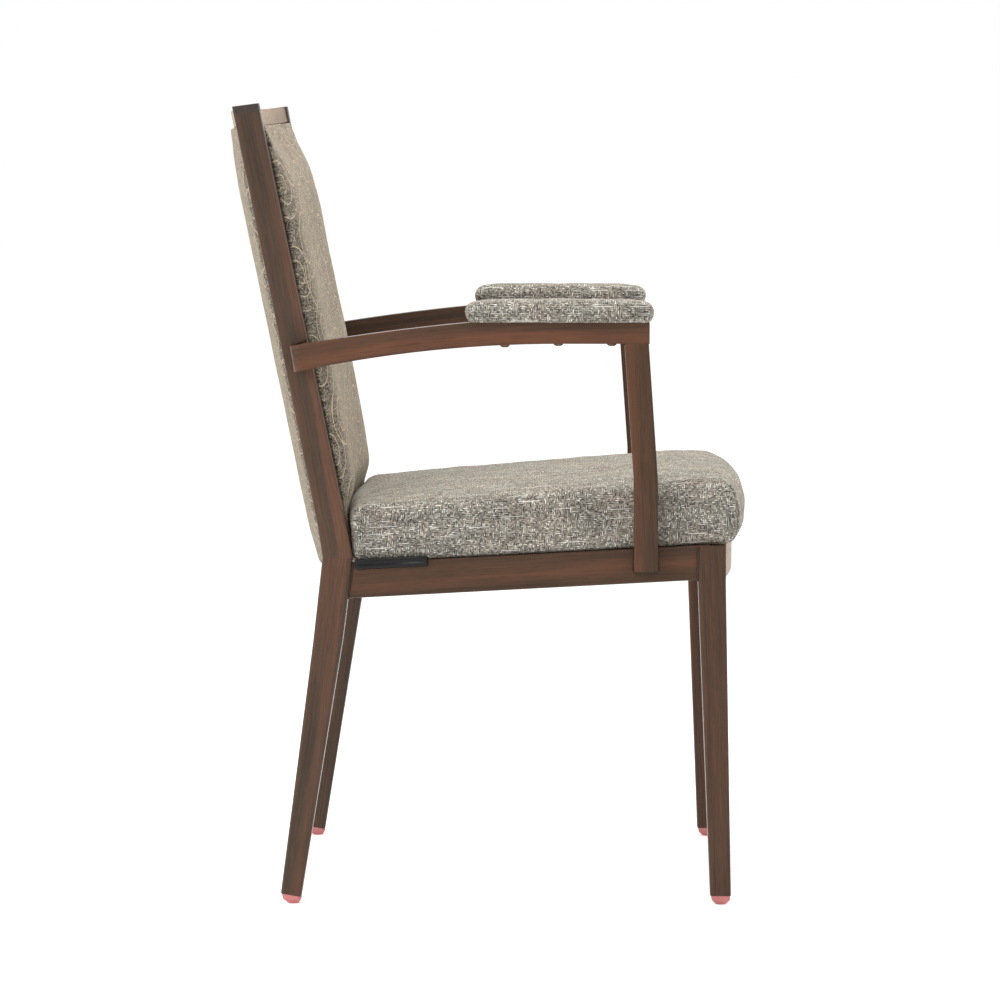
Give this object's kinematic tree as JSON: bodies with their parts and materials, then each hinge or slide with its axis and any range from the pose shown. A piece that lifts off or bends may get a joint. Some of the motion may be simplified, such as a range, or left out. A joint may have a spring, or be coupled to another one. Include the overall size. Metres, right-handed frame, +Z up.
{
  "type": "dining armchair",
  "caption": "Upholstered dining armchair with a wood-grain aluminium tube frame, padded seat, back and armrests, stacking bumpers and foot glides.",
  "frame": {"origin": "on the floor, in the middle of the bounding box", "axes": "+Z up; the sitter faces -Y; the sitter's left hand is at +X"},
  "size_m": [0.5782, 0.5975, 0.9],
  "materials": {
    "walnut_frame": "semi-gloss walnut wood-grain coating",
    "seat_fabric": "heathered grey-taupe weave",
    "back_fabric": "grey-taupe weave with fine beige scrolls",
    "plywood": "raw plywood",
    "red_glide": "satin",
    "black_rubber": "satin",
    "screw_steel": "bronzed",
    "dust_cloth": "black non-woven cloth"
  },
  "bodies": {
    "root": {"arm_pad_board_left": "plywood", "arm_pad_board_right": "plywood", "arm_pad_left": "seat_fabric", "arm_pad_right": "seat_fabric", "arm_pad_screws_left": "screw_steel", "arm_pad_screws_right": "screw_steel", "arm_post_left": "walnut_frame", "arm_post_plug_left": "walnut_frame", "arm_post_plug_right": "walnut_frame", "arm_post_right": "walnut_frame", "arm_rail_left": "walnut_frame", "arm_rail_right": "walnut_frame", "back_crossbar_lower": "walnut_frame", "back_crossbar_upper": "walnut_frame", "back_front_board": "plywood", "back_front_pad": "back_fabric", "back_rear_board": "plywood", "back_rear_pad": "back_fabric", "back_screws": "screw_steel", "back_stile_left": "walnut_frame", "back_stile_right": "walnut_frame", "dust_cover": "dust_cloth", "front_foot_glide_left": "red_glide", "front_foot_glide_right": "red_glide", "front_leg_left": "walnut_frame", "front_leg_right": "walnut_frame", "front_rail": "walnut_frame", "rear_foot_glide_left": "red_glide", "rear_foot_glide_right": "red_glide", "rear_leg_left": "walnut_frame", "rear_leg_right": "walnut_frame", "rear_rail": "walnut_frame", "seat_board": "plywood", "seat_cushion": "seat_fabric", "seat_screws": "screw_steel", "seat_tab_front_left": "walnut_frame", "seat_tab_front_right": "walnut_frame", "seat_tab_rear_left": "walnut_frame", "seat_tab_rear_right": "walnut_frame", "side_rail_left": "walnut_frame", "side_rail_right": "walnut_frame", "stacking_bumper_left": "black_rubber", "stacking_bumper_right": "black_rubber", "stile_cap_left": "walnut_frame", "stile_cap_right": "walnut_frame", "top_rail": "walnut_frame"}
  },
  "joints": []
}
